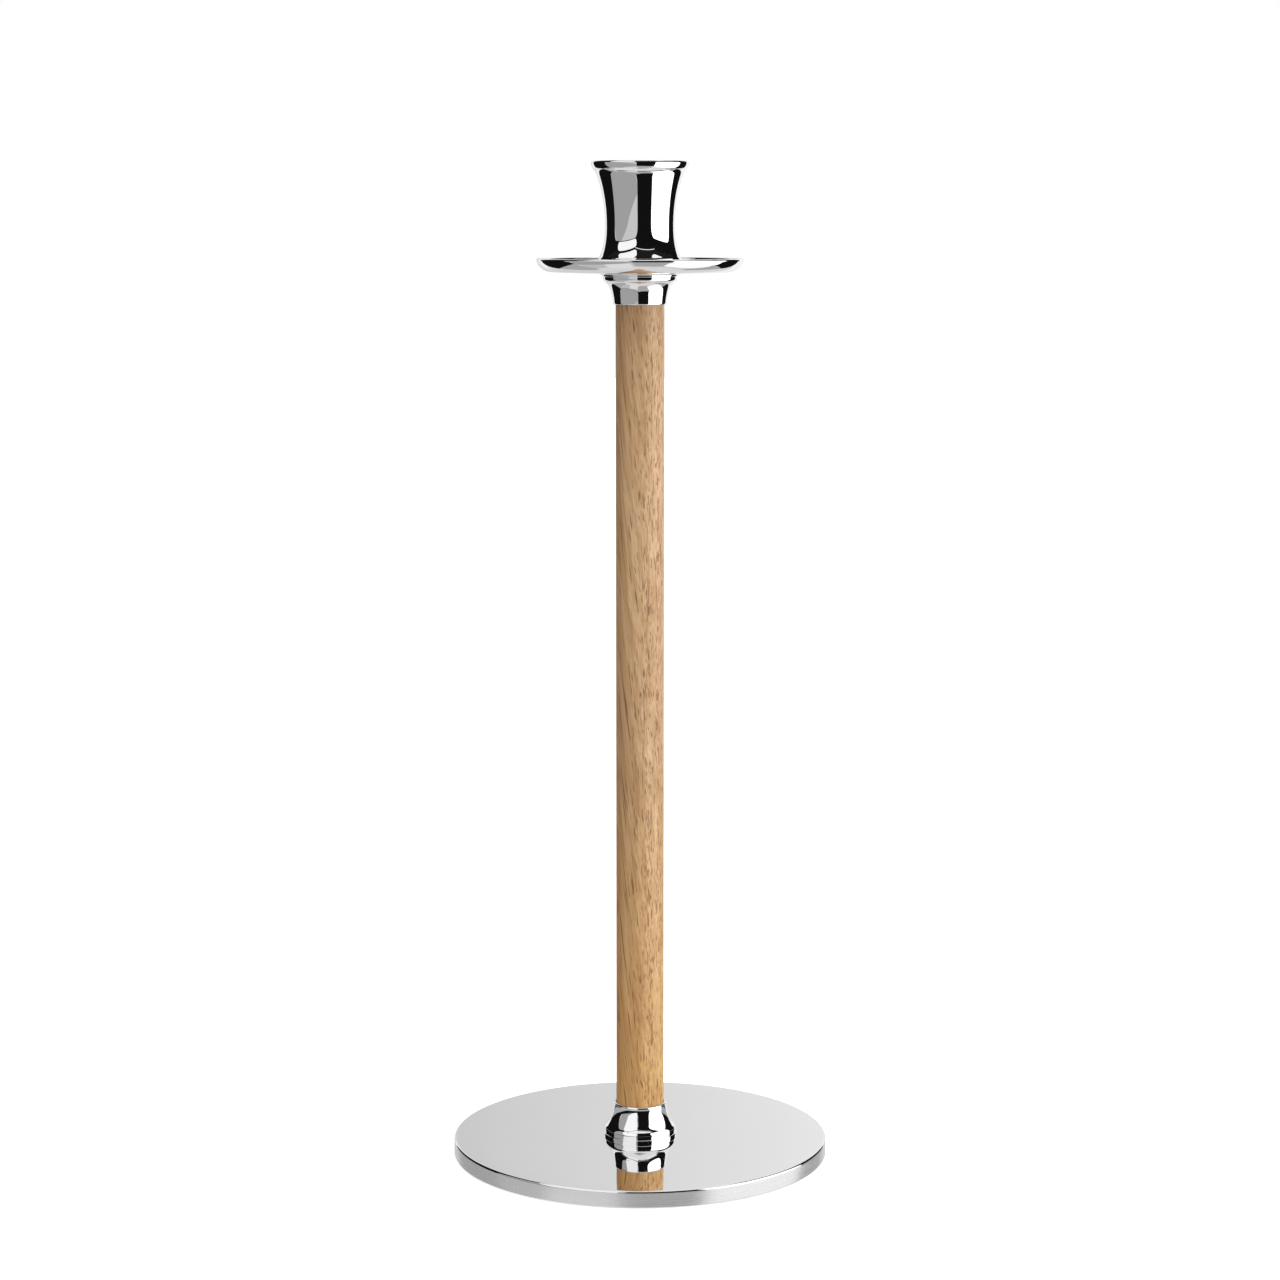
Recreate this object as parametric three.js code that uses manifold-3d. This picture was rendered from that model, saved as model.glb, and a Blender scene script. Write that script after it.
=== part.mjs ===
// Tall candlestick: a turned oak column between two polished ferrules, on a flat round base,
// with a drip pan and a flared candle cup on top. Millimetres, +Z up, origin on the floor
// at the middle of the foot. Threads are plain cylinders with a small clearance.
import * as THREE from 'three';
import { mergeVertices } from 'three/addons/utils/BufferGeometryUtils.js';
import Module from 'manifold-3d';

const wasm = await Module();
wasm.setup();

// Base plate and the felt under it
const BASE_RADIUS = 75;
const BASE_TOP = 7;
const BASE_GAP = 0.4;
const BASE_EDGE = 1;
const BASE_UNDER_EDGE = 0.4;
const FELT_THICKNESS = 1.5;
const FELT_RADIUS = 70;
const RECESS_RADIUS = 70.5;

// Column
const COLUMN_RADIUS = 9.5;
const COLUMN_EXPOSED = 319.9;
const COLUMN_EDGE = 0.4;

// Ferrules: a flat ring, a band with a rounded shoulder, then a hollow bell that narrows
// to a lip over the column. The lower one is a little taller.
const FERRULE_FLOOR = 3;
const RING_RADIUS = 14.85;
const RING_HEIGHT = 1.25;
const RING_ROUND = 0.4;
const BAND_RADIUS = 14.45;
const BELL_PULL_RADIUS = 11.2;
const LIP_RADIUS = 10.5;
const LIP_ROUND = 1;
const SOCKET_RADIUS = 9.6;
const SMALL_EDGE = 0.25;
const LOWER_FERRULE = { height: 13.5, band: 2.4, shoulder: 3.4, foot: 4.2, footRadius: 13.75, pull: 6.9 };
const UPPER_FERRULE = { height: 12.1, band: 1.9, shoulder: 2.7, foot: 3.2, footRadius: 13.6, pull: 4.9 };

// M6 thread and the pieces on it
const THREAD_RADIUS = 3;
const TAPPED_RADIUS = 3.1;
const CLEARANCE_RADIUS = 3.3;
const INSERT_RADIUS = 5;
const INSERT_BORE_RADIUS = 5.1;
const INSERT_LENGTH = 15;
const INSERT_BORE_DEPTH = 16;
const SCREW_HEAD_RADIUS = 6;
const SCREW_HEAD_HEIGHT = 3;
const SCREW_LENGTH = 20;
const SCREW_HEAD_INSET = 0.7;
const SCREW_HEAD_GAP = 0.3;
const SCREW_TIP = 1;
const STUD_TIP = 0.75;
const HEX_KEY_SIZE = 4;
const HEX_KEY_DEPTH = 2;
const STUD_BELOW = 13;
const STUD_ABOVE = 13.2;

// Drip pan
const PAN_RADIUS = 40.4;
const PAN_HEIGHT = 5.85;
const PAN_FLOOR = 1.8;
const PAN_WALL = 1.5;
const PAN_FLAT_RADIUS = 35;
const PAN_FLAT_RISE = 0.6;
const PAN_BEND_RADIUS = 39;
const PAN_BEND_RISE = 1;
const PAN_BOSS_RADIUS = 15.4;
const PAN_BOSS_FLARE = 17.4;
const PAN_BOSS_DEPTH = 0.6;
const PAN_REGISTER_RADIUS = 15;
const PAN_LEVEL_RADIUS = 19.3;
const WASHER_RADIUS = 15;
const WASHER_THICKNESS = 0.5;

// Candle cup
const CUP_HEIGHT = 41;
const CUP_RIM_RADIUS = 19;
const CUP_RIM_BAND = 3;
const CUP_RIM_WIDEST = 0.9;
const CUP_WAIST_RADIUS = 13.6;
const CUP_WAIST_HEIGHT = 16;
const CUP_NECK_RADIUS = 15.9;
const CUP_NECK_HEIGHT = 4;
const CUP_FOOT_RADIUS = 18.3;
const CUP_FOOT_EDGE = 1.7;
const CUP_FOOT_COVE_RADIUS = 16.1;
const CUP_FOOT_COVE_HEIGHT = 3.6;
const CUP_NECK_PULL = 8.4;
const CUP_FLARE_RADIUS = 16.9;
const CUP_FLARE_BELOW_RIM = 5;
const CUP_FLARE_PULL = 27;
const CUP_RIM_UNDERSIDE = 18.3;
const CUP_RIM_LAND = 1.6;
const CUP_RIM_CORNER = 0.6;
const SOCKET_FLOOR = 11.4;
const SOCKET_STRAIGHT = 22;
const SOCKET_PULL = 31;
const CANDLE_RADIUS = 11.4;
const TAPPED_DEPTH = 9;

// Heights that follow from the sizes above
const LOWER_FERRULE_LIP = BASE_TOP + LOWER_FERRULE.height;
const UPPER_FERRULE_LIP = LOWER_FERRULE_LIP + COLUMN_EXPOSED;
const PAN_SEAT = UPPER_FERRULE_LIP + UPPER_FERRULE.height;
const COLUMN_BOTTOM = BASE_TOP + FERRULE_FLOOR;
const COLUMN_TOP = PAN_SEAT - FERRULE_FLOOR;
const CUP_SEAT = PAN_SEAT + PAN_FLOOR + WASHER_THICKNESS;

const QUARTER = Math.PI / 2;

const chrome = (color, roughness) => new THREE.MeshStandardMaterial({ color, roughness, metalness: 1 });
const polished = chrome(0xd9dadb, 0.05);
const mirrorSteel = chrome(0xd2d3d4, 0.08);
const brass = chrome(0xb9964f, 0.35);
const zinc = chrome(0xa7a9aa, 0.4);
const oak = new THREE.MeshStandardMaterial({ color: 0xbd9160, roughness: 0.55, metalness: 0 });
const felt = new THREE.MeshStandardMaterial({ color: 0x2b2c2d, roughness: 0.95, metalness: 0 });
const fibre = new THREE.MeshStandardMaterial({ color: 0x8d4a35, roughness: 0.8, metalness: 0 });

const stick = new THREE.Group();

// Turns an outline of radius and height, counter-clockwise with the metal on its left, about +Z.
function turned(name, outline, segments, material) {
  const geometry = new THREE.LatheGeometry(outline, segments);
  geometry.rotateX(QUARTER);
  const mesh = new THREE.Mesh(geometry, material);
  mesh.name = name;
  return mesh;
}

// A plain ring or washer.
function ringOutline(inner, outer, bottom, top) {
  const path = new THREE.Path();
  path.moveTo(inner, bottom);
  path.lineTo(outer, bottom);
  path.lineTo(outer, top);
  path.lineTo(inner, top);
  path.closePath();
  return path.getPoints();
}

// Manifold solid of a closed geometry.
function toSolid(geometry) {
  const bare = geometry.clone();
  bare.deleteAttribute('normal');
  bare.deleteAttribute('uv');
  const merged = mergeVertices(bare, 1e-4);
  const { array } = merged.index;
  const triangles = [];
  for (let i = 0; i < array.length; i += 3) {
    const [a, b, c] = array.slice(i, i + 3);
    if (a !== b && b !== c && c !== a) triangles.push(a, b, c);
  }
  const vertProperties = new Float32Array(merged.attributes.position.array);
  const triVerts = new Uint32Array(triangles);
  return new wasm.Manifold(new wasm.Mesh({ numProp: 3, vertProperties, triVerts }));
}

function toGeometry(solid) {
  const { vertProperties, triVerts } = solid.getMesh();
  const geometry = new THREE.BufferGeometry();
  geometry.setAttribute('position', new THREE.BufferAttribute(vertProperties, 3));
  geometry.setIndex(new THREE.BufferAttribute(triVerts, 1));
  return geometry;
}

// Steel disc with a softened edge, a felt recess and a countersunk hole underneath.
function basePlate() {
  const path = new THREE.Path();
  path.moveTo(CLEARANCE_RADIUS, BASE_TOP);
  path.lineTo(CLEARANCE_RADIUS, FELT_THICKNESS + SCREW_HEAD_INSET + SCREW_HEAD_HEIGHT);
  path.lineTo(SCREW_HEAD_RADIUS + SCREW_HEAD_GAP, FELT_THICKNESS + SCREW_HEAD_INSET);
  path.lineTo(SCREW_HEAD_RADIUS + SCREW_HEAD_GAP, FELT_THICKNESS);
  path.lineTo(RECESS_RADIUS, FELT_THICKNESS);
  path.lineTo(RECESS_RADIUS, BASE_GAP);
  path.lineTo(BASE_RADIUS - BASE_UNDER_EDGE, BASE_GAP);
  path.lineTo(BASE_RADIUS, BASE_GAP + BASE_UNDER_EDGE);
  path.absarc(BASE_RADIUS - BASE_EDGE, BASE_TOP - BASE_EDGE, BASE_EDGE, 0, QUARTER);
  path.closePath();
  return turned('base_plate', path.getPoints(2), 72, mirrorSteel);
}

function feltPad() {
  const path = new THREE.Path();
  path.moveTo(0, 0);
  path.lineTo(FELT_RADIUS, 0);
  path.lineTo(FELT_RADIUS, FELT_THICKNESS);
  path.lineTo(0, FELT_THICKNESS);
  return turned('felt_pad', path.getPoints(), 48, felt);
}

// Countersunk M6 screw that pulls base, lower ferrule and column together, with a hex key socket.
function baseScrew() {
  const head = FELT_THICKNESS + SCREW_HEAD_INSET;
  const path = new THREE.Path();
  path.moveTo(0, head);
  path.lineTo(SCREW_HEAD_RADIUS, head);
  path.lineTo(THREAD_RADIUS, head + SCREW_HEAD_HEIGHT);
  path.lineTo(THREAD_RADIUS, head + SCREW_LENGTH - SCREW_TIP);
  path.lineTo(THREAD_RADIUS - SCREW_TIP, head + SCREW_LENGTH);
  path.lineTo(0, head + SCREW_LENGTH);
  const screw = turned('base_screw', path.getPoints(), 24, zinc);
  const corner = HEX_KEY_SIZE / Math.sqrt(3);
  const key = new THREE.CylinderGeometry(corner, corner, HEX_KEY_DEPTH * 2, 6);
  key.rotateX(QUARTER);
  key.translate(0, 0, head);
  screw.geometry = toGeometry(toSolid(screw.geometry).subtract(toSolid(key)));
  return screw;
}

// A ferrule of the given sizes, standing on its ring at height 0.
function ferruleOutline({ height, band, shoulder, foot, footRadius, pull }) {
  const path = new THREE.Path();
  path.moveTo(CLEARANCE_RADIUS, 0);
  path.lineTo(RING_RADIUS, 0);
  path.lineTo(RING_RADIUS, RING_HEIGHT - RING_ROUND);
  path.quadraticCurveTo(RING_RADIUS, RING_HEIGHT, BAND_RADIUS, RING_HEIGHT);
  path.lineTo(BAND_RADIUS, band);
  path.quadraticCurveTo(BAND_RADIUS, shoulder, footRadius, foot);
  path.quadraticCurveTo(BELL_PULL_RADIUS, pull, LIP_RADIUS, height - LIP_ROUND);
  path.quadraticCurveTo(LIP_RADIUS, height, SOCKET_RADIUS + SMALL_EDGE, height);
  path.lineTo(SOCKET_RADIUS, height - SMALL_EDGE);
  path.lineTo(SOCKET_RADIUS, FERRULE_FLOOR);
  path.lineTo(CLEARANCE_RADIUS, FERRULE_FLOOR);
  path.closePath();
  return path.getPoints(3);
}

function lowerFerrule() {
  const raised = ferruleOutline(LOWER_FERRULE).map((p) => new THREE.Vector2(p.x, BASE_TOP + p.y));
  return turned('lower_ferrule', raised, 36, polished);
}

// Hangs from the drip pan, lip down.
function upperFerrule() {
  const hanging = ferruleOutline(UPPER_FERRULE).map((p) => new THREE.Vector2(p.x, PAN_SEAT - p.y));
  return turned('upper_ferrule', hanging.reverse(), 36, polished);
}

// Oak dowel, bored at both ends for the threaded inserts.
function column() {
  const path = new THREE.Path();
  path.moveTo(0, COLUMN_BOTTOM + INSERT_BORE_DEPTH);
  path.lineTo(INSERT_BORE_RADIUS, COLUMN_BOTTOM + INSERT_BORE_DEPTH);
  path.lineTo(INSERT_BORE_RADIUS, COLUMN_BOTTOM);
  path.lineTo(COLUMN_RADIUS - COLUMN_EDGE, COLUMN_BOTTOM);
  path.lineTo(COLUMN_RADIUS, COLUMN_BOTTOM + COLUMN_EDGE);
  path.lineTo(COLUMN_RADIUS, COLUMN_TOP - COLUMN_EDGE);
  path.lineTo(COLUMN_RADIUS - COLUMN_EDGE, COLUMN_TOP);
  path.lineTo(INSERT_BORE_RADIUS, COLUMN_TOP);
  path.lineTo(INSERT_BORE_RADIUS, COLUMN_TOP - INSERT_BORE_DEPTH);
  path.lineTo(0, COLUMN_TOP - INSERT_BORE_DEPTH);
  return turned('column', path.getPoints(), 36, oak);
}

// Brass M6 insert screwed into one end of the column, flush with the end grain.
function threadedInsert(name, bottom) {
  return turned(name, ringOutline(TAPPED_RADIUS, INSERT_RADIUS, bottom, bottom + INSERT_LENGTH), 24, brass);
}

// M6 stud from the upper insert through ferrule, pan and washer into the cup.
function topStud() {
  const bottom = COLUMN_TOP - STUD_BELOW;
  const top = COLUMN_TOP + STUD_ABOVE;
  const path = new THREE.Path();
  path.moveTo(0, bottom);
  path.lineTo(THREAD_RADIUS - STUD_TIP, bottom);
  path.lineTo(THREAD_RADIUS, bottom + STUD_TIP);
  path.lineTo(THREAD_RADIUS, top - STUD_TIP);
  path.lineTo(THREAD_RADIUS - STUD_TIP, top);
  path.lineTo(0, top);
  return turned('top_stud', path.getPoints(), 24, zinc);
}

// Wide shallow pan with an upturned round rim, and a boss under it that registers on the ferrule.
function dripPan() {
  const bossEnd = PAN_SEAT - PAN_BOSS_DEPTH;
  const rimRound = PAN_WALL / 2;
  const rimMiddle = PAN_SEAT + PAN_HEIGHT - rimRound;
  const floor = PAN_SEAT + PAN_FLOOR;
  const path = new THREE.Path();
  path.moveTo(CLEARANCE_RADIUS, PAN_SEAT);
  path.lineTo(PAN_REGISTER_RADIUS, PAN_SEAT);
  path.lineTo(PAN_REGISTER_RADIUS, bossEnd);
  path.lineTo(PAN_BOSS_RADIUS, bossEnd);
  path.quadraticCurveTo(PAN_BOSS_RADIUS, PAN_SEAT, PAN_BOSS_FLARE, PAN_SEAT);
  path.lineTo(PAN_FLAT_RADIUS, PAN_SEAT + PAN_FLAT_RISE);
  path.quadraticCurveTo(PAN_BEND_RADIUS, PAN_SEAT + PAN_BEND_RISE, PAN_RADIUS, rimMiddle);
  path.absarc(PAN_RADIUS - rimRound, rimMiddle, rimRound, 0, Math.PI);
  path.quadraticCurveTo(
    PAN_BEND_RADIUS - PAN_WALL, floor + SMALL_EDGE * 2,
    PAN_FLAT_RADIUS, floor + SMALL_EDGE,
  );
  path.lineTo(PAN_LEVEL_RADIUS, floor);
  path.lineTo(CLEARANCE_RADIUS, floor);
  path.closePath();
  return turned('drip_pan', path.getPoints(3), 56, polished);
}

function panWasher() {
  const bottom = PAN_SEAT + PAN_FLOOR;
  const outline = ringOutline(CLEARANCE_RADIUS, WASHER_RADIUS, bottom, bottom + WASHER_THICKNESS);
  return turned('pan_washer', outline, 32, fibre);
}

// Trumpet-shaped cup with a tapped foot below and a socket for a 22 mm candle above.
function candleCup() {
  const z = (height) => CUP_SEAT + height;
  const path = new THREE.Path();
  path.moveTo(TAPPED_RADIUS, z(0));
  path.lineTo(CUP_FOOT_RADIUS - SMALL_EDGE, z(0));
  path.lineTo(CUP_FOOT_RADIUS, z(SMALL_EDGE));
  path.lineTo(CUP_FOOT_RADIUS, z(CUP_FOOT_EDGE));
  path.quadraticCurveTo(
    CUP_FOOT_COVE_RADIUS, z(CUP_FOOT_EDGE + SMALL_EDGE),
    CUP_FOOT_COVE_RADIUS, z(CUP_FOOT_COVE_HEIGHT),
  );
  path.lineTo(CUP_NECK_RADIUS, z(CUP_NECK_HEIGHT));
  path.quadraticCurveTo(CUP_WAIST_RADIUS, z(CUP_NECK_PULL), CUP_WAIST_RADIUS, z(CUP_WAIST_HEIGHT));
  path.quadraticCurveTo(
    CUP_WAIST_RADIUS, z(CUP_FLARE_PULL),
    CUP_FLARE_RADIUS, z(CUP_HEIGHT - CUP_FLARE_BELOW_RIM),
  );
  path.lineTo(CUP_RIM_UNDERSIDE, z(CUP_HEIGHT - CUP_RIM_BAND));
  path.lineTo(CUP_RIM_RADIUS, z(CUP_HEIGHT - CUP_RIM_WIDEST));
  path.quadraticCurveTo(CUP_RIM_RADIUS, z(CUP_HEIGHT), CUP_RIM_RADIUS - CUP_RIM_CORNER, z(CUP_HEIGHT));
  path.lineTo(CUP_RIM_RADIUS - CUP_RIM_LAND, z(CUP_HEIGHT));
  path.quadraticCurveTo(CANDLE_RADIUS + CUP_RIM_LAND, z(SOCKET_PULL), CANDLE_RADIUS, z(SOCKET_STRAIGHT));
  path.lineTo(CANDLE_RADIUS, z(SOCKET_FLOOR));
  path.lineTo(0, z(SOCKET_FLOOR));
  path.lineTo(0, z(TAPPED_DEPTH));
  path.lineTo(TAPPED_RADIUS, z(TAPPED_DEPTH));
  path.closePath();
  return turned('candle_cup', path.getPoints(4), 40, polished);
}

stick.add(basePlate());
stick.add(feltPad());
stick.add(baseScrew());
stick.add(lowerFerrule());
stick.add(column());
stick.add(threadedInsert('lower_insert', COLUMN_BOTTOM));
stick.add(threadedInsert('upper_insert', COLUMN_TOP - INSERT_LENGTH));
stick.add(upperFerrule());
stick.add(topStud());
stick.add(dripPan());
stick.add(panWasher());
stick.add(candleCup());

export default stick;
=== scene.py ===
import math

import bpy
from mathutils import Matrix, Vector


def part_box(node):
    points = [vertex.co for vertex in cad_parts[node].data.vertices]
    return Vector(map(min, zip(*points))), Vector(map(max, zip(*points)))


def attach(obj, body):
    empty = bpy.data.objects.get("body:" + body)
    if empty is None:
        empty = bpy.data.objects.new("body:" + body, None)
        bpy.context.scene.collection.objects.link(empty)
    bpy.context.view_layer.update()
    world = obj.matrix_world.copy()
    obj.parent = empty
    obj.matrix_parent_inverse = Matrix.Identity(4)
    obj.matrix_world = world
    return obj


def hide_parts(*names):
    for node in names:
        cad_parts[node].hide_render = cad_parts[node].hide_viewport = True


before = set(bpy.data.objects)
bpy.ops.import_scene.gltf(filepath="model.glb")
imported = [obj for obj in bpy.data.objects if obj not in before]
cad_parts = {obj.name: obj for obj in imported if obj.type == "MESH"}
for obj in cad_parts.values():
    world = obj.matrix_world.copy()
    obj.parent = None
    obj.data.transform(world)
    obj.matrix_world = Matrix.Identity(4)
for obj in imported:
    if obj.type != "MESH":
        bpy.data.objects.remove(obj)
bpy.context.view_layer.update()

# Looks of the turned candlestick: fine turned pieces stand for the faceted CAD ones. Metres, +Z up.

MM = 0.001


# ---------------------------------------------------------------- camera

SENSOR_WIDTH = 36.0
LENS = 86.09
CAMERA_DISTANCE = 1.2
CAMERA_HEIGHT = 0.3741
CAMERA_PITCH = math.radians(7.86)


def make_camera():
    data = bpy.data.cameras.new("camera")
    data.sensor_width = SENSOR_WIDTH
    data.lens = LENS
    data.clip_end = 20.0
    camera = bpy.data.objects.new("camera", data)
    camera.location = (0.0, -CAMERA_DISTANCE, CAMERA_HEIGHT)
    camera.rotation_euler = (math.pi / 2 - CAMERA_PITCH, 0.0, 0.0)
    bpy.context.scene.collection.objects.link(camera)
    bpy.context.scene.camera = camera


make_camera()
bpy.context.scene.view_settings.view_transform = "Standard"


# ---------------------------------------------------------------- turned meshes

SAME_POINT = 1e-4
ON_AXIS = 1e-6
SHARP_ANGLE = math.radians(32.0)


def arc(centre_r, centre_z, radius, start, end, steps):
    """Points on a circle from one angle to another, in degrees."""
    points = []
    for i in range(steps + 1):
        angle = math.radians(start + (end - start) * i / steps)
        points.append((centre_r + radius * math.cos(angle), centre_z + radius * math.sin(angle)))
    return points


def bend(start, pull, end, steps):
    """Points on a quadratic curve from start to end, drawn towards pull."""
    points = []
    for i in range(steps + 1):
        t = i / steps
        a, b, c = (1 - t) ** 2, 2 * t * (1 - t), t * t
        points.append((a * start[0] + b * pull[0] + c * end[0], a * start[1] + b * pull[1] + c * end[1]))
    return points


def without_repeats(points):
    """The closed outline with each point only once where two stretches meet."""
    kept = []
    for point in points:
        if not kept or math.dist(point, kept[-1]) > SAME_POINT:
            kept.append(point)
    if math.dist(kept[0], kept[-1]) < SAME_POINT:
        kept.pop()
    return kept


def turn(name, outline, steps):
    """A solid of revolution about Z. The outline is in millimetres and counter-clockwise."""
    outline = without_repeats(outline)
    vertices, rings = [], []
    for radius, height in outline:
        if radius < ON_AXIS:
            rings.append([len(vertices)] * steps)
            vertices.append((0.0, 0.0, height * MM))
            continue
        rings.append(list(range(len(vertices), len(vertices) + steps)))
        for i in range(steps):
            angle = 2 * math.pi * i / steps
            vertices.append((radius * MM * math.cos(angle), radius * MM * math.sin(angle), height * MM))
    faces = []
    for ring, following in zip(rings, rings[1:] + rings[:1]):
        if ring[0] == ring[1] and following[0] == following[1]:
            continue
        for i in range(steps):
            j = (i + 1) % steps
            corners = (ring[i], ring[j], following[j], following[i])
            faces.append(tuple(dict.fromkeys(corners)))
    mesh = bpy.data.meshes.new(name)
    mesh.from_pydata(vertices, [], faces)
    mesh.validate()
    mesh.shade_smooth()
    mesh.set_sharp_from_angle(angle=SHARP_ANGLE)
    piece = bpy.data.objects.new(name, mesh)
    bpy.context.scene.collection.objects.link(piece)
    return piece


def stands_for(piece, cad_node, slot_name, *materials):
    """The fine piece rides on the one body, replaces its CAD node and gets its materials."""
    for material in materials:
        piece.data.materials.append(material)
    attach(piece, "root")
    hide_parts(cad_node)


def span(cad_node):
    """Outer radius, bottom and top of a CAD node in millimetres."""
    low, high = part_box(cad_node)
    return high[0] / MM, low[2] / MM, high[2] / MM


# ---------------------------------------------------------------- materials

def new_material(name):
    material = bpy.data.materials.new(name)
    material.use_nodes = True
    tree = material.node_tree
    return material, tree, tree.nodes["Principled BSDF"]


def node(tree, kind, **settings):
    made = tree.nodes.new(kind)
    for key, value in settings.items():
        setattr(made, key, value)
    return made


def stretched_coordinates(tree, scale, lean=0.0):
    """Object coordinates, stretched by a scale along each axis, after a lean of the upright axis."""
    vector = node(tree, "ShaderNodeTexCoord").outputs["Object"]
    if lean:
        leaning = node(tree, "ShaderNodeMapping")
        leaning.inputs["Rotation"].default_value = (lean, lean, 0.0)
        tree.links.new(vector, leaning.inputs["Vector"])
        vector = leaning.outputs["Vector"]
    mapping = node(tree, "ShaderNodeMapping")
    mapping.inputs["Scale"].default_value = scale
    tree.links.new(vector, mapping.inputs["Vector"])
    return mapping.outputs["Vector"]


def noise(tree, vector, scale, detail=3.0, rough=0.5, distortion=0.0):
    made = node(tree, "ShaderNodeTexNoise")
    made.inputs["Scale"].default_value = scale
    made.inputs["Detail"].default_value = detail
    made.inputs["Roughness"].default_value = rough
    made.inputs["Distortion"].default_value = distortion
    tree.links.new(vector, made.inputs["Vector"])
    return made.outputs["Fac"]


def spread(tree, value, low, high, to_low, to_high):
    """Maps a value from one range to another, held at the ends."""
    made = node(tree, "ShaderNodeMapRange")
    for key, number in (("From Min", low), ("From Max", high), ("To Min", to_low), ("To Max", to_high)):
        made.inputs[key].default_value = number
    tree.links.new(value, made.inputs["Value"])
    return made.outputs["Result"]


def ramp(tree, value, stops):
    made = node(tree, "ShaderNodeValToRGB")
    ends = made.color_ramp.elements
    while len(ends) < len(stops):
        ends.new(0.5)
    for element, (position, color) in zip(ends, stops):
        element.position = position
        element.color = (*color, 1.0)
    tree.links.new(value, made.inputs["Fac"])
    return made.outputs["Color"]


def mix(tree, factor, first, second, blend_type="MIX"):
    made = node(tree, "ShaderNodeMix", data_type="RGBA", blend_type=blend_type)
    sockets = [s for s in made.inputs if s.enabled]
    for socket, value in zip(sockets, (factor, first, second)):
        if hasattr(value, "node"):
            tree.links.new(value, socket)
        else:
            socket.default_value = value
    return [s for s in made.outputs if s.enabled][0]


def bump(tree, shader, height, strength, distance):
    made = node(tree, "ShaderNodeBump")
    made.inputs["Strength"].default_value = strength
    made.inputs["Distance"].default_value = distance
    tree.links.new(height, made.inputs["Height"])
    tree.links.new(made.outputs["Normal"], shader.inputs["Normal"])


def polished_metal(name, tint, smooth, worn, waviness):
    """Buffed plating: a clear mirror with faint cloudy wear and a slightly wavy surface."""
    material, tree, shader = new_material(name)
    shader.inputs["Metallic"].default_value = 1.0
    fine = stretched_coordinates(tree, (1.0, 1.0, 1.0))
    cloud = noise(tree, fine, 60.0, 4.0)
    tree.links.new(spread(tree, cloud, 0.35, 0.75, smooth, worn), shader.inputs["Roughness"])
    darker = tuple(0.965 * c for c in tint)
    tree.links.new(mix(tree, cloud, (*tint, 1.0), (*darker, 1.0)), shader.inputs["Base Color"])
    bump(tree, shader, noise(tree, fine, 90.0, 1.0), waviness, 0.0004)
    return material


def satin_metal(name, tint, smooth, worn):
    """Ground rim: fine lines round the edge that spread the reflections."""
    material, tree, shader = new_material(name)
    shader.inputs["Metallic"].default_value = 1.0
    grain = noise(tree, stretched_coordinates(tree, (50.0, 50.0, 2600.0)), 1.0, 4.0, 0.6)
    tree.links.new(spread(tree, grain, 0.3, 0.7, smooth, worn), shader.inputs["Roughness"])
    tree.links.new(ramp(tree, grain, ((0.3, tuple(0.93 * c for c in tint)), (0.7, tint))),
                   shader.inputs["Base Color"])
    bump(tree, shader, grain, 0.12, 0.00004)
    return material


def oak_wood(name):
    """Oak: leaning fibres, dark streaks, rows of short pores on the +X side, and a painted yellower tint
    at the foot that makes its reflection in the mirror top look more orange.
    """
    material, tree, shader = new_material(name)
    dark_streak, dark_pore = (0.23, 0.110, 0.038, 1.0), (0.25, 0.120, 0.042, 1.0)
    # The foot tint is a painted reflection colour: it makes the foot's reflection in the mirror top more
    # orange.
    painted_foot_tint, foot_from, foot_to = (1.0, 0.89, 0.58, 1.0), 0.02, 0.17
    lean = math.radians(6)
    fibres = noise(tree, stretched_coordinates(tree, (1700.0, 1700.0, 24.0), lean), 1.0, 4.0, 0.65)
    bands = noise(tree, stretched_coordinates(tree, (460.0, 460.0, 9.0), lean), 1.0, 3.0, 0.6)
    drift = noise(tree, stretched_coordinates(tree, (140.0, 140.0, 8.0)), 1.0, 2.0)
    tone = mix(tree, 0.40, mix(tree, 0.40, bands, drift), fibres)
    color = ramp(tree, tone, ((0.36, (0.42, 0.230, 0.098)), (0.50, (0.60, 0.370, 0.185)),
                              (0.64, (0.78, 0.550, 0.330))))
    streaks = noise(tree, stretched_coordinates(tree, (1450.0, 1450.0, 25.0), lean), 1.0, 2.0, 0.5)
    streak_marks = spread(tree, streaks, 0.59, 0.67, 0.0, 0.85)
    color = mix(tree, streak_marks, color, dark_streak)
    pores = noise(tree, stretched_coordinates(tree, (1650.0, 1650.0, 270.0)), 1.0, 1.0, 0.5)
    rows = noise(tree, stretched_coordinates(tree, (620.0, 620.0, 5.0)), 1.0, 1.0, 0.5)
    place = node(tree, "ShaderNodeSeparateXYZ")
    tree.links.new(stretched_coordinates(tree, (1.0, 1.0, 1.0)), place.inputs["Vector"])
    in_rows = mix(tree, 1.0, spread(tree, rows, 0.47, 0.56, 0.05, 1.0),
                  spread(tree, place.outputs["X"], 0.0, 0.005, 0.15, 1.0), "MULTIPLY")
    pore_marks = mix(tree, 1.0, spread(tree, pores, 0.54, 0.61, 0.0, 0.8), in_rows, "MULTIPLY")
    color = mix(tree, pore_marks, color, dark_pore)
    # Painted reflection colour: the foot is tinted yellower so that its reflection in the mirror top comes
    # out more orange.
    foot = spread(tree, place.outputs["Z"], foot_from, foot_to, 1.0, 0.0)
    color = mix(tree, foot, color, painted_foot_tint, "MULTIPLY")
    tree.links.new(color, shader.inputs["Base Color"])
    tree.links.new(spread(tree, fibres, 0.3, 0.7, 0.5, 0.66), shader.inputs["Roughness"])
    relief = mix(tree, 0.5, fibres, spread(tree, pore_marks, 0.0, 1.0, 1.0, 0.0))
    bump(tree, shader, relief, 0.25, 0.00012)
    return material


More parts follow.
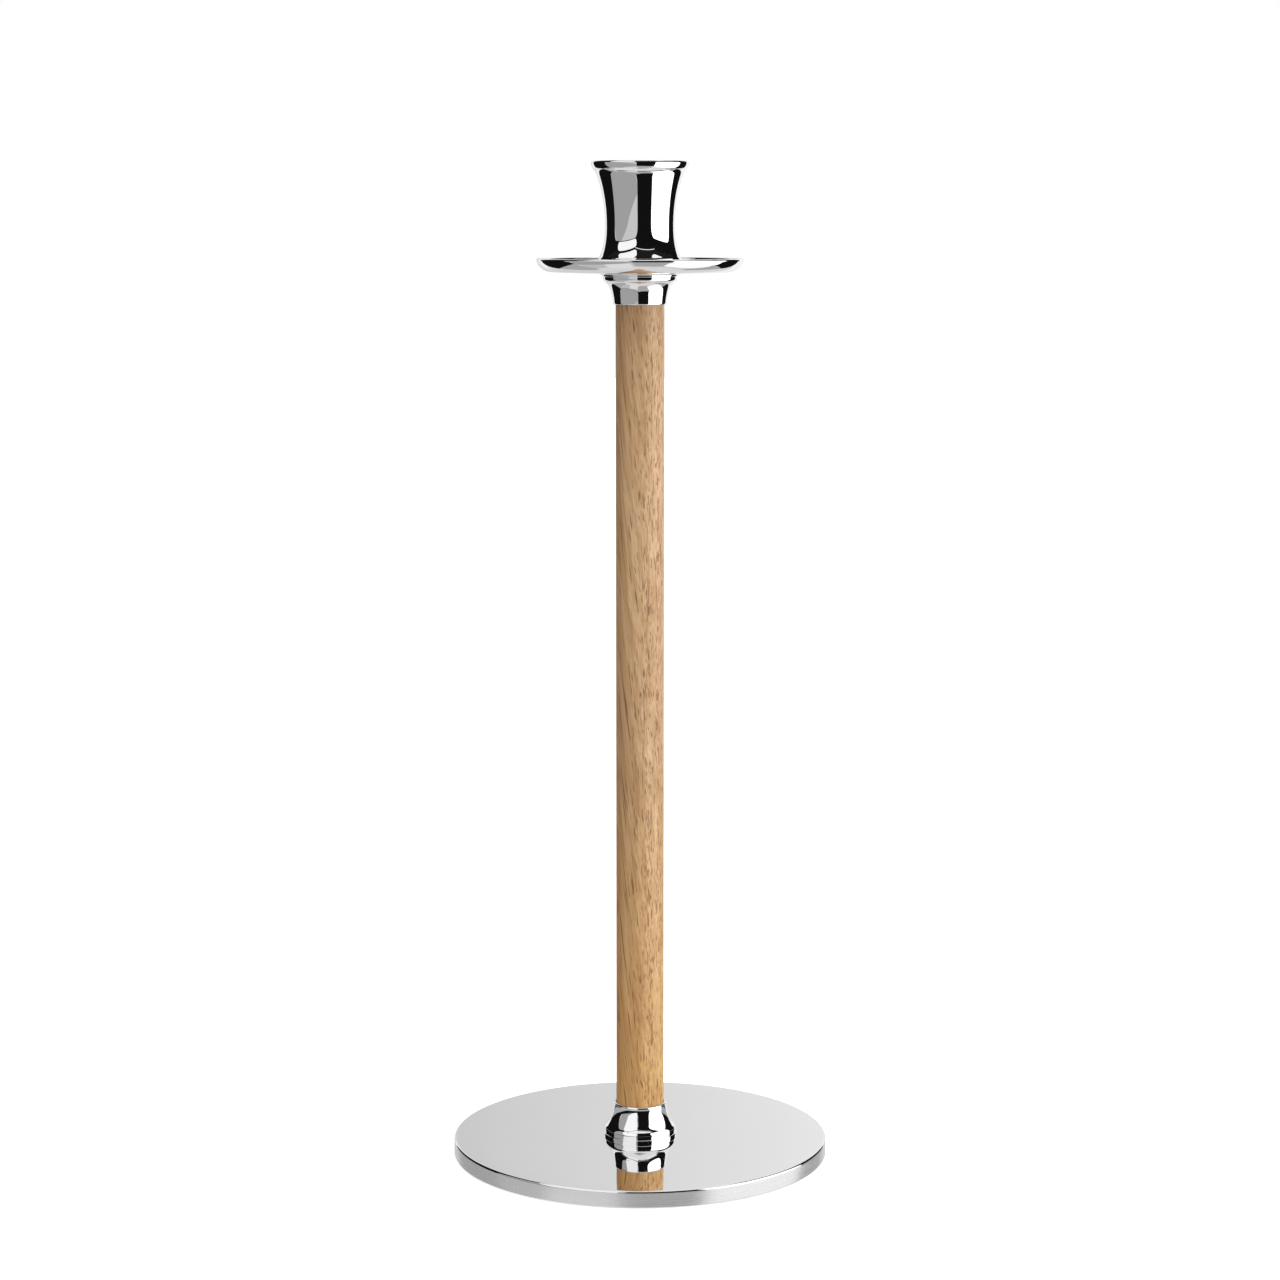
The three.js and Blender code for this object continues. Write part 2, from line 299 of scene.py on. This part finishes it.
def felt_cloth(name):
    """Pressed charcoal felt: matted fibres with paler flecks."""
    material, tree, shader = new_material(name)
    vector = stretched_coordinates(tree, (1.0, 1.0, 1.0))
    mat = noise(tree, vector, 900.0, 6.0, 0.75, 1.5)
    fleck = noise(tree, vector, 260.0, 3.0, 0.6, 2.0)
    color = ramp(tree, mix(tree, 0.4, mat, fleck),
                 ((0.35, (0.012, 0.012, 0.014)), (0.65, (0.060, 0.060, 0.064))))
    tree.links.new(color, shader.inputs["Base Color"])
    shader.inputs["Roughness"].default_value = 0.95
    shader.inputs["Sheen Weight"].default_value = 0.4
    bump(tree, shader, mat, 0.8, 0.0003)
    return material


def machined_metal(name, tint, smooth, worn):
    """Plated or machined hardware: fine turning lines and mottled plating."""
    material, tree, shader = new_material(name)
    shader.inputs["Metallic"].default_value = 1.0
    lines = noise(tree, stretched_coordinates(tree, (40.0, 40.0, 3000.0)), 1.0, 3.0)
    mottle = noise(tree, stretched_coordinates(tree, (1.0, 1.0, 1.0)), 500.0, 4.0)
    both = mix(tree, 0.5, lines, mottle)
    tree.links.new(spread(tree, both, 0.3, 0.7, smooth, worn), shader.inputs["Roughness"])
    tree.links.new(ramp(tree, both, ((0.3, tuple(0.75 * c for c in tint)), (0.7, tint))),
                   shader.inputs["Base Color"])
    bump(tree, shader, lines, 0.3, 0.0001)
    return material


def pressed_fibre(name):
    """Vulcanised fibre sheet: a red-brown board with a mottled, slightly fibrous face."""
    material, tree, shader = new_material(name)
    mottle = noise(tree, stretched_coordinates(tree, (900.0, 400.0, 900.0)), 1.0, 5.0, 0.7)
    tree.links.new(ramp(tree, mottle, ((0.3, (0.16, 0.045, 0.028)), (0.7, (0.31, 0.10, 0.06)))),
                   shader.inputs["Base Color"])
    tree.links.new(spread(tree, mottle, 0.3, 0.7, 0.65, 0.85), shader.inputs["Roughness"])
    bump(tree, shader, mottle, 0.4, 0.0001)
    return material


chrome = polished_metal("polished_chrome", (0.90, 0.90, 0.91), 0.012, 0.035, 0.10)
mirror_top = polished_metal("mirror_steel", (0.84, 0.84, 0.845), 0.02, 0.04, 0.02)
satin_rim = satin_metal("satin_steel_rim", (0.80, 0.80, 0.805), 0.20, 0.32)
oak = oak_wood("oak")
felt = felt_cloth("felt")
zinc = machined_metal("zinc_steel", (0.62, 0.62, 0.64), 0.28, 0.5)
brass = machined_metal("brass", (0.72, 0.52, 0.24), 0.22, 0.42)
fibre = pressed_fibre("fibre")


# ---------------------------------------------------------------- pieces

# Sizes in millimetres. Where a piece ends is read from its CAD node, and its profile is given here.
M6_CLEARANCE = 3.3
M6_TAPPED = 3.1
SMALL_EDGE = 0.25

BASE_EDGE = 1.0
BASE_UNDER_EDGE = 0.4
BASE_RECESS_GAP = 0.5
SCREW_HEAD_GAP = 0.3
SCREW_CONE = 3.0
BASE_TOP_RINGS = (63.0, 40.0, 16.0)
SATIN_DEPTH = 0.1
FELT_EDGE = 0.35

COLUMN_EDGE = 0.4
INSERT_BORE = 5.1
INSERT_BORE_DEPTH = 16.0
COLUMN_RINGS = 24

RING_RADIUS = 14.85
RING_HEIGHT = 1.25
RING_ROUND = 0.4
BAND_RADIUS = 14.45
BELL_PULL_RADIUS = 11.2
LIP_RADIUS = 10.5
LIP_ROUND = 1.0
SOCKET_RADIUS = 9.6
FERRULE_FLOOR = 3.0
LOWER_PROFILE = {"band_top": 2.4, "shoulder": 3.4, "foot": 4.2, "foot_radius": 13.75, "pull": 6.9}
UPPER_PROFILE = {"band_top": 1.9, "shoulder": 2.7, "foot": 3.2, "foot_radius": 13.6, "pull": 4.9}

PAN_WALL = 1.5
PAN_FLOOR = 1.8
PAN_REGISTER_RADIUS = 15.0
PAN_BOSS_RADIUS = 15.4
PAN_BOSS_FLARE = 17.4
PAN_FLAT_RADIUS = 35.0
PAN_FLAT_RISE = 0.6
PAN_BEND_RADIUS = 39.0
PAN_BEND_RISE = 1.0
PAN_SLOPE_RADIUS = 26.0
PAN_SLOPE_RISE = 0.12
PAN_LEVEL_RADIUS = 19.3

CUP_FOOT_RADIUS = 18.3
CUP_FOOT_EDGE = 1.7
CUP_COVE_RADIUS = 16.1
CUP_COVE_PULL = 1.95
CUP_COVE_HEIGHT = 3.6
CUP_NECK_RADIUS = 15.9
CUP_NECK_HEIGHT = 4.0
CUP_NECK_PULL = 8.4
CUP_WAIST_RADIUS = 13.6
CUP_WAIST_HEIGHT = 16.0
CUP_FLARE_PULL = 27.0
CUP_FLARE_RADIUS = 16.9
CUP_FLARE_BELOW_RIM = 5.0
CUP_UNDERCUT = (17.4, 3.7)
CUP_BAND_RADIUS = 18.3
CUP_BAND_HEIGHT = 3.0
CUP_BAND_PULL = (18.85, 2.2)
CUP_WIDEST_BELOW_RIM = 0.9
CUP_RIM_CORNER = 0.6
CUP_RIM_LAND = 1.6
CANDLE_RADIUS = 11.4
CANDLE_FLOOR = 11.4
CANDLE_STRAIGHT = 22.0
CANDLE_PULL = 31.0
CANDLE_FLARE = 1.6
TAPPED_DEPTH = 9.0


def make_base():
    radius, bottom, top = span("base_plate")
    felt_radius, _, felt_top = span("felt_pad")
    head_radius, head_bottom, _ = span("base_screw")
    recess, sink = felt_radius + BASE_RECESS_GAP, head_radius + SCREW_HEAD_GAP
    rim_low, rim_high = bottom + BASE_UNDER_EDGE, top - BASE_EDGE
    outline = [(M6_CLEARANCE, top), (M6_CLEARANCE, head_bottom + SCREW_CONE), (sink, head_bottom)]
    outline += [(sink, felt_top), (recess, felt_top), (recess, bottom)]
    outline += arc(radius - BASE_UNDER_EDGE, rim_low, BASE_UNDER_EDGE, -90, 0, 6)
    outline += arc(radius - BASE_EDGE, rim_high, BASE_EDGE, 0, 90, 16)
    outline += [(ring, top) for ring in BASE_TOP_RINGS]
    piece = turn("base_disc", outline, 288)
    # Only the upright rim is satin. The top, its rounded edge and the underside are polished.
    for face in piece.data.polygons:
        outside = math.hypot(face.center[0], face.center[1]) / MM > radius - SATIN_DEPTH
        face.material_index = 1 if outside and rim_low < face.center[2] / MM < rim_high else 0
    stands_for(piece, "base_plate", "mirror_steel", mirror_top, satin_rim)


def make_felt():
    radius, bottom, top = span("felt_pad")
    outline = [(0.0, bottom), (radius / 2, bottom)]
    outline += arc(radius - FELT_EDGE, bottom + FELT_EDGE, FELT_EDGE, -90, 0, 5)
    outline += [(radius, top), (0.0, top)]
    stands_for(turn("felt_disc", outline, 192), "felt_pad", "felt", felt)


def ferrule_outline(height, band_top, shoulder, foot, foot_radius, pull):
    """Standing on its ring at height 0, with the socket for the column open at the top."""
    ring_side, lip_side = RING_HEIGHT - RING_ROUND, height - LIP_ROUND
    outline = [(M6_CLEARANCE, 0.0), (RING_RADIUS, 0.0)]
    outline += bend((RING_RADIUS, ring_side), (RING_RADIUS, RING_HEIGHT), (BAND_RADIUS, RING_HEIGHT), 8)
    outline += bend((BAND_RADIUS, band_top), (BAND_RADIUS, shoulder), (foot_radius, foot), 16)
    outline += bend((foot_radius, foot), (BELL_PULL_RADIUS, pull), (LIP_RADIUS, lip_side), 32)
    outline += bend((LIP_RADIUS, lip_side), (LIP_RADIUS, height), (SOCKET_RADIUS + SMALL_EDGE, height), 12)
    outline += [(SOCKET_RADIUS, height - SMALL_EDGE), (SOCKET_RADIUS, FERRULE_FLOOR)]
    outline += [(M6_CLEARANCE, FERRULE_FLOOR)]
    return outline


def make_ferrules():
    _, bottom, top = span("lower_ferrule")
    lower = [(r, bottom + h) for r, h in ferrule_outline(top - bottom, **LOWER_PROFILE)]
    stands_for(turn("lower_collar", lower, 192), "lower_ferrule", "polished_chrome", chrome)
    _, bottom, top = span("upper_ferrule")
    upper = [(r, top - h) for r, h in reversed(ferrule_outline(top - bottom, **UPPER_PROFILE))]
    stands_for(turn("upper_collar", upper, 192), "upper_ferrule", "polished_chrome", chrome)


def make_column():
    radius, bottom, top = span("column")
    inner = radius - COLUMN_EDGE
    low, high = bottom + COLUMN_EDGE, top - COLUMN_EDGE
    low_bore, high_bore = bottom + INSERT_BORE_DEPTH, top - INSERT_BORE_DEPTH
    outline = [(0.0, low_bore), (INSERT_BORE, low_bore), (INSERT_BORE, bottom), (inner, bottom)]
    outline += [(radius, low + (high - low) * i / COLUMN_RINGS) for i in range(COLUMN_RINGS + 1)]
    outline += [(inner, top), (INSERT_BORE, top), (INSERT_BORE, high_bore), (0.0, high_bore)]
    stands_for(turn("oak_dowel", outline, 128), "column", "oak", oak)


def make_pan():
    radius, boss_end, rim_top = span("drip_pan")
    _, _, seat = span("upper_ferrule")
    floor, middle = seat + PAN_FLOOR, rim_top - PAN_WALL / 2
    under_flat = (PAN_FLAT_RADIUS, seat + PAN_FLAT_RISE)
    under_bend = (PAN_BEND_RADIUS, seat + PAN_BEND_RISE)
    inner_flat = (PAN_FLAT_RADIUS, floor + SMALL_EDGE)
    inner_bend = (PAN_BEND_RADIUS - PAN_WALL, floor + 2 * SMALL_EDGE)
    outline = [(M6_CLEARANCE, seat), (PAN_REGISTER_RADIUS, seat), (PAN_REGISTER_RADIUS, boss_end)]
    outline += bend((PAN_BOSS_RADIUS, boss_end), (PAN_BOSS_RADIUS, seat), (PAN_BOSS_FLARE, seat), 10)
    outline += bend(under_flat, under_bend, (radius, middle), 28)
    outline += arc(radius - PAN_WALL / 2, middle, PAN_WALL / 2, 0, 180, 16)
    outline += bend((radius - PAN_WALL, middle), inner_bend, inner_flat, 24)
    outline += [(PAN_SLOPE_RADIUS, floor + PAN_SLOPE_RISE), (PAN_LEVEL_RADIUS, floor)]
    outline += [(M6_CLEARANCE, floor)]
    stands_for(turn("drip_dish", outline, 224), "drip_pan", "polished_chrome", chrome)


def cup_outside(radius, seat, top):
    """From the spread foot up over the neck, the waist and the flare to the top of the lip."""
    foot, cove_pull = (CUP_FOOT_RADIUS, seat + CUP_FOOT_EDGE), (CUP_COVE_RADIUS, seat + CUP_COVE_PULL)
    cove, neck = (CUP_COVE_RADIUS, seat + CUP_COVE_HEIGHT), (CUP_NECK_RADIUS, seat + CUP_NECK_HEIGHT)
    waist = (CUP_WAIST_RADIUS, seat + CUP_WAIST_HEIGHT)
    flare = (CUP_FLARE_RADIUS, top - CUP_FLARE_BELOW_RIM)
    undercut, band_pull = [(r, top - depth) for r, depth in (CUP_UNDERCUT, CUP_BAND_PULL)]
    band, widest = (CUP_BAND_RADIUS, top - CUP_BAND_HEIGHT), (radius, top - CUP_WIDEST_BELOW_RIM)
    outline = arc(CUP_FOOT_RADIUS - SMALL_EDGE, seat + SMALL_EDGE, SMALL_EDGE, -90, 0, 4)
    outline += bend(foot, cove_pull, cove, 12)
    outline += bend(neck, (CUP_WAIST_RADIUS, seat + CUP_NECK_PULL), waist, 30)
    outline += bend(waist, (CUP_WAIST_RADIUS, seat + CUP_FLARE_PULL), flare, 36)
    outline += bend(flare, undercut, band, 8)
    outline += bend(band, band_pull, widest, 12)
    outline += bend(widest, (radius, top), (radius - CUP_RIM_CORNER, top), 10)
    return outline


def cup_inside(radius, seat, top):
    """From the lip down into the socket for the candle and the tapped hole in the foot."""
    mouth = radius - CUP_RIM_LAND
    outline = bend((mouth + SMALL_EDGE, top), (mouth, top), (mouth, top - SMALL_EDGE), 4)
    outline += bend((mouth, top - SMALL_EDGE), (CANDLE_RADIUS + CANDLE_FLARE, seat + CANDLE_PULL),
                    (CANDLE_RADIUS, seat + CANDLE_STRAIGHT), 30)
    outline += [(CANDLE_RADIUS, CANDLE_FLOOR + seat), (0.0, CANDLE_FLOOR + seat)]
    outline += [(0.0, seat + TAPPED_DEPTH), (M6_TAPPED, seat + TAPPED_DEPTH)]
    return outline


def make_cup():
    radius, seat, top = span("candle_cup")
    outline = [(M6_TAPPED, seat)] + cup_outside(radius, seat, top) + cup_inside(radius, seat, top)
    stands_for(turn("cup", outline, 224), "candle_cup", "polished_chrome", chrome)


def dress_hidden_hardware():
    """The small CAD pieces inside keep their shape and only get their materials."""
    dressing = {"base_screw": zinc, "top_stud": zinc, "lower_insert": brass, "upper_insert": brass,
                "pan_washer": fibre}
    for name, material in dressing.items():
        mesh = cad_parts[name].data
        mesh.materials.clear()
        mesh.materials.append(material)


make_base()
make_felt()
make_ferrules()
make_column()
make_pan()
make_cup()
dress_hidden_hardware()


# ---------------------------------------------------------------- studio

CARD_DISTANCE = 0.48


def emitter(name, strength):
    """A plain glow of a given strength."""
    material = bpy.data.materials.new(name)
    material.use_nodes = True
    tree = material.node_tree
    tree.nodes.clear()
    output = node(tree, "ShaderNodeOutputMaterial")
    emission = node(tree, "ShaderNodeEmission")
    emission.inputs["Strength"].default_value = strength
    tree.links.new(emission.outputs["Emission"], output.inputs["Surface"])
    return material


def only_reflected(thing):
    thing.visible_camera = False
    thing.visible_diffuse = False
    thing.visible_transmission = False
    thing.visible_volume_scatter = False
    thing.visible_shadow = False


def plate(name, corners, material):
    mesh = bpy.data.meshes.new(name)
    mesh.from_pydata(corners, [], [tuple(range(len(corners)))])
    mesh.materials.append(material)
    thing = bpy.data.objects.new(name, mesh)
    bpy.context.scene.collection.objects.link(thing)
    return thing


def round_about(azimuth, distance):
    """A place round the stick: azimuth 0 is on the camera's side, and 90 to its right."""
    angle = math.radians(azimuth)
    return distance * math.sin(angle), -distance * math.cos(angle)


def card(name, from_azimuth, to_azimuth, outline, material, distance=CARD_DISTANCE):
    """An upright flat card that only reflections show. The outline holds (across, height): across
    runs from 0 at the first azimuth to 1 at the second."""
    (ax, ay), (bx, by) = round_about(from_azimuth, distance), round_about(to_azimuth, distance)
    corners = [(ax + (bx - ax) * across, ay + (by - ay) * across, height) for across, height in outline]
    only_reflected(plate(name, corners, material))


def rounded(left, right, low, high, radius, width):
    """Outline of a card with round corners. Left and right run from 0 to 1 across the given width."""
    reach = radius / width
    middles = ((right - reach, high - radius), (left + reach, high - radius),
               (left + reach, low + radius), (right - reach, low + radius))
    outline = []
    for quarter, (across, height) in enumerate(middles):
        for u, v in arc(0.0, 0.0, 1.0, 90 * quarter, 90 * quarter + 90, 8):
            outline.append((across + reach * u, height + radius * v))
    return outline


def upright(low, high):
    return [(0.0, low), (1.0, low), (1.0, high), (0.0, high)]


# Azimuths are in degrees, widths and heights in metres.
JUST_IN_FRONT = 0.478
LEFT = (-90, -8)
LEFT_WIDTH = 0.63
RIGHT = (37, 108)
RIGHT_WIDTH = 0.56
PANEL_TOP = 0.455
BLACK_TOP = 0.6
BACKDROP_TOP = 1.6
SHADE = ((0.0, 0.12), (0.14, 0.03), (0.86, 0.03), (1.0, 0.12), (1.0, 0.2), (0.36, PANEL_TOP),
         (0.14, PANEL_TOP), (0.0, 0.365))


def make_black_cards():
    """Dark surroundings. Those behind the left panel and the right light stand farther off."""
    black = emitter("black_card", 0.006)
    dark = upright(0.0, BLACK_TOP)
    card("black_left", -141, -88, dark, black, 0.50)
    card("black_behind_grey", -95, -2, dark, black, 0.56)
    card("black_middle", -10, 40, dark, black, 0.50)
    card("black_behind_light", 32, 113, dark, black, 0.54)
    card("black_right", 107, 141, dark, black, 0.50)


def make_bright_cards():
    grey = emitter("grey_card", 0.38)
    pale = emitter("pale_card", 0.62)
    white = emitter("white_card", 1.05)
    light = emitter("soft_light", 2.0)
    card("pale_panel", *LEFT, rounded(0.0, 1.0, 0.03, PANEL_TOP, 0.09, LEFT_WIDTH), pale)
    card("grey_panel", *LEFT, SHADE, grey, JUST_IN_FRONT)
    card("upper_lamp", *LEFT, rounded(0.23, 0.95, 0.462, 0.57, 0.05, LEFT_WIDTH), white)
    card("top_lamp", *LEFT, rounded(0.23, 0.95, 0.614, 0.86, 0.08, LEFT_WIDTH), white)
    card("thin_lamp", -17, 52, upright(0.592, 0.604), white)
    card("soft_light", *RIGHT, rounded(0.0, 1.0, 0.0, PANEL_TOP, 0.10, RIGHT_WIDTH), light)
    card("right_lamp", *RIGHT, rounded(0.1, 1.0, 0.70, 1.0, 0.10, RIGHT_WIDTH), white)
    card("backdrop", 141, 219, upright(0.0, BACKDROP_TOP), graded_backdrop(), 0.9)


def make_low_lamp():
    """A sloping lamp that shines down only, so that just the lower ferrule and its reflection see it."""
    material = emitter("low_lamp", 1.05)
    tree = material.node_tree
    clear = node(tree, "ShaderNodeBsdfTransparent")
    choose = node(tree, "ShaderNodeMixShader")
    facing = node(tree, "ShaderNodeNewGeometry").outputs["Backfacing"]
    tree.links.new(facing, choose.inputs["Fac"])
    tree.links.new(tree.nodes["Emission"].outputs["Emission"], choose.inputs[1])
    tree.links.new(clear.outputs["BSDF"], choose.inputs[2])
    tree.links.new(choose.outputs["Shader"], tree.nodes["Material Output"].inputs["Surface"])
    high, low = (0.167, 0.187), (0.40, 0.030)
    places = ((-12, low), (-48, low), (-72, high), (-12, high))
    corners = [(*round_about(azimuth, distance), height) for azimuth, (distance, height) in places]
    only_reflected(plate("low_lamp", corners, material))


def graded_backdrop():
    """White cloth behind, seen only in reflections, with its light and shade painted into its glow:
    darkest a little left of the middle, brighter to the right and at both ends.
    """
    material = emitter("backdrop", 1.0)
    tree = material.node_tree
    apart = node(tree, "ShaderNodeSeparateXYZ")
    tree.links.new(node(tree, "ShaderNodeTexCoord").outputs["Object"], apart.inputs["Vector"])
    across = spread(tree, apart.outputs["X"], -0.5, 0.5, 0.0, 1.0)
    # Painted shading: the backdrop's glow across its width.
    levels = ((0.05, 1.0), (0.28, 0.74), (0.38, 0.68), (0.50, 0.80), (0.62, 0.92), (0.85, 1.0))
    shades = ramp(tree, across, [(place, (level, level, level)) for place, level in levels])
    tree.links.new(shades, tree.nodes["Emission"].inputs["Color"])
    return material


def shaded_floor_glow():
    """What the metal sees below it: the floor again as a pale, slightly glossy sheet, as a painted shaded
    copy whose grey glow is dimmer than the floor the camera sees.
    """
    # Painted shade: a steady grey glow stands in for the floor as reflections show it, darker than the
    # floor the camera sees.
    material = emitter("shaded_floor_glow", 0.42)
    tree = material.node_tree
    gloss = node(tree, "ShaderNodeBsdfGlossy")
    gloss.inputs["Color"].default_value = (0.35, 0.35, 0.35, 1.0)
    gloss.inputs["Roughness"].default_value = 0.12
    both = node(tree, "ShaderNodeAddShader")
    tree.links.new(tree.nodes["Emission"].outputs["Emission"], both.inputs[0])
    tree.links.new(gloss.outputs["BSDF"], both.inputs[1])
    tree.links.new(both.outputs["Shader"], tree.nodes["Material Output"].inputs["Surface"])
    return material


def pale_floor():
    material, tree, shader = new_material("pale_floor")
    cloud = noise(tree, stretched_coordinates(tree, (1.0, 1.0, 1.0)), 3.0, 2.0)
    tree.links.new(ramp(tree, cloud, ((0.3, (0.95, 0.95, 0.95)), (0.7, (0.97, 0.97, 0.97)))),
                   shader.inputs["Base Color"])
    shader.inputs["Roughness"].default_value = 0.9
    shader.inputs["Specular IOR Level"].default_value = 0.0
    shader.inputs["Emission Color"].default_value = (1.0, 1.0, 1.0, 1.0)
    shader.inputs["Emission Strength"].default_value = 0.45
    return material


def make_floor():
    reach, just_below = 6.0, -0.0002
    square = [(-reach, -reach, 0.0), (reach, -reach, 0.0), (reach, reach, 0.0), (-reach, reach, 0.0)]
    floor = plate("floor", square, pale_floor())
    floor.visible_diffuse = False
    floor.visible_glossy = False
    mirrored = plate("floor_in_reflections", square, shaded_floor_glow())
    mirrored.location = (0.0, 0.0, just_below)
    only_reflected(mirrored)


def make_world():
    """White to the camera, dark with a bright zenith in reflections, else soft light from the right."""
    world = bpy.data.worlds.new("studio")
    bpy.context.scene.world = world
    world.use_nodes = True
    tree = world.node_tree
    tree.nodes.clear()
    output = node(tree, "ShaderNodeOutputWorld")
    direction = node(tree, "ShaderNodeTexCoord").outputs["Generated"]
    lean = node(tree, "ShaderNodeVectorMath", operation="DOT_PRODUCT")
    lean.inputs[1].default_value = (0.5, -0.05, 0.5)
    tree.links.new(direction, lean.inputs[0])
    soft = spread(tree, lean.outputs["Value"], -0.68, 0.75, 0.0, 1.75)
    warmth = ramp(tree, spread(tree, lean.outputs["Value"], -0.5, 0.5, 0.0, 1.0),
                  ((0.0, (1.0, 0.78, 0.56)), (0.7, (1.0, 1.0, 1.0))))
    apart = node(tree, "ShaderNodeSeparateXYZ")
    tree.links.new(direction, apart.inputs["Vector"])
    zenith = spread(tree, apart.outputs["Z"], 0.84, 0.88, 0.012, 0.9)
    rays = node(tree, "ShaderNodeLightPath")
    lit = node(tree, "ShaderNodeBackground")
    tree.links.new(soft, lit.inputs["Strength"])
    seen = node(tree, "ShaderNodeBackground")
    seen.inputs["Strength"].default_value = 1.0
    mirrored = node(tree, "ShaderNodeBackground")
    tree.links.new(zenith, mirrored.inputs["Strength"])
    tree.links.new(warmth, lit.inputs["Color"])
    for background in (seen, mirrored):
        background.inputs["Color"].default_value = (1.0, 1.0, 1.0, 1.0)
    glossy = node(tree, "ShaderNodeMixShader")
    tree.links.new(rays.outputs["Is Glossy Ray"], glossy.inputs["Fac"])
    tree.links.new(lit.outputs[0], glossy.inputs[1])
    tree.links.new(mirrored.outputs[0], glossy.inputs[2])
    whole = node(tree, "ShaderNodeMixShader")
    tree.links.new(rays.outputs["Is Camera Ray"], whole.inputs["Fac"])
    tree.links.new(glossy.outputs[0], whole.inputs[1])
    tree.links.new(seen.outputs[0], whole.inputs[2])
    tree.links.new(whole.outputs[0], output.inputs["Surface"])


make_black_cards()
make_bright_cards()
make_low_lamp()
make_floor()
make_world()
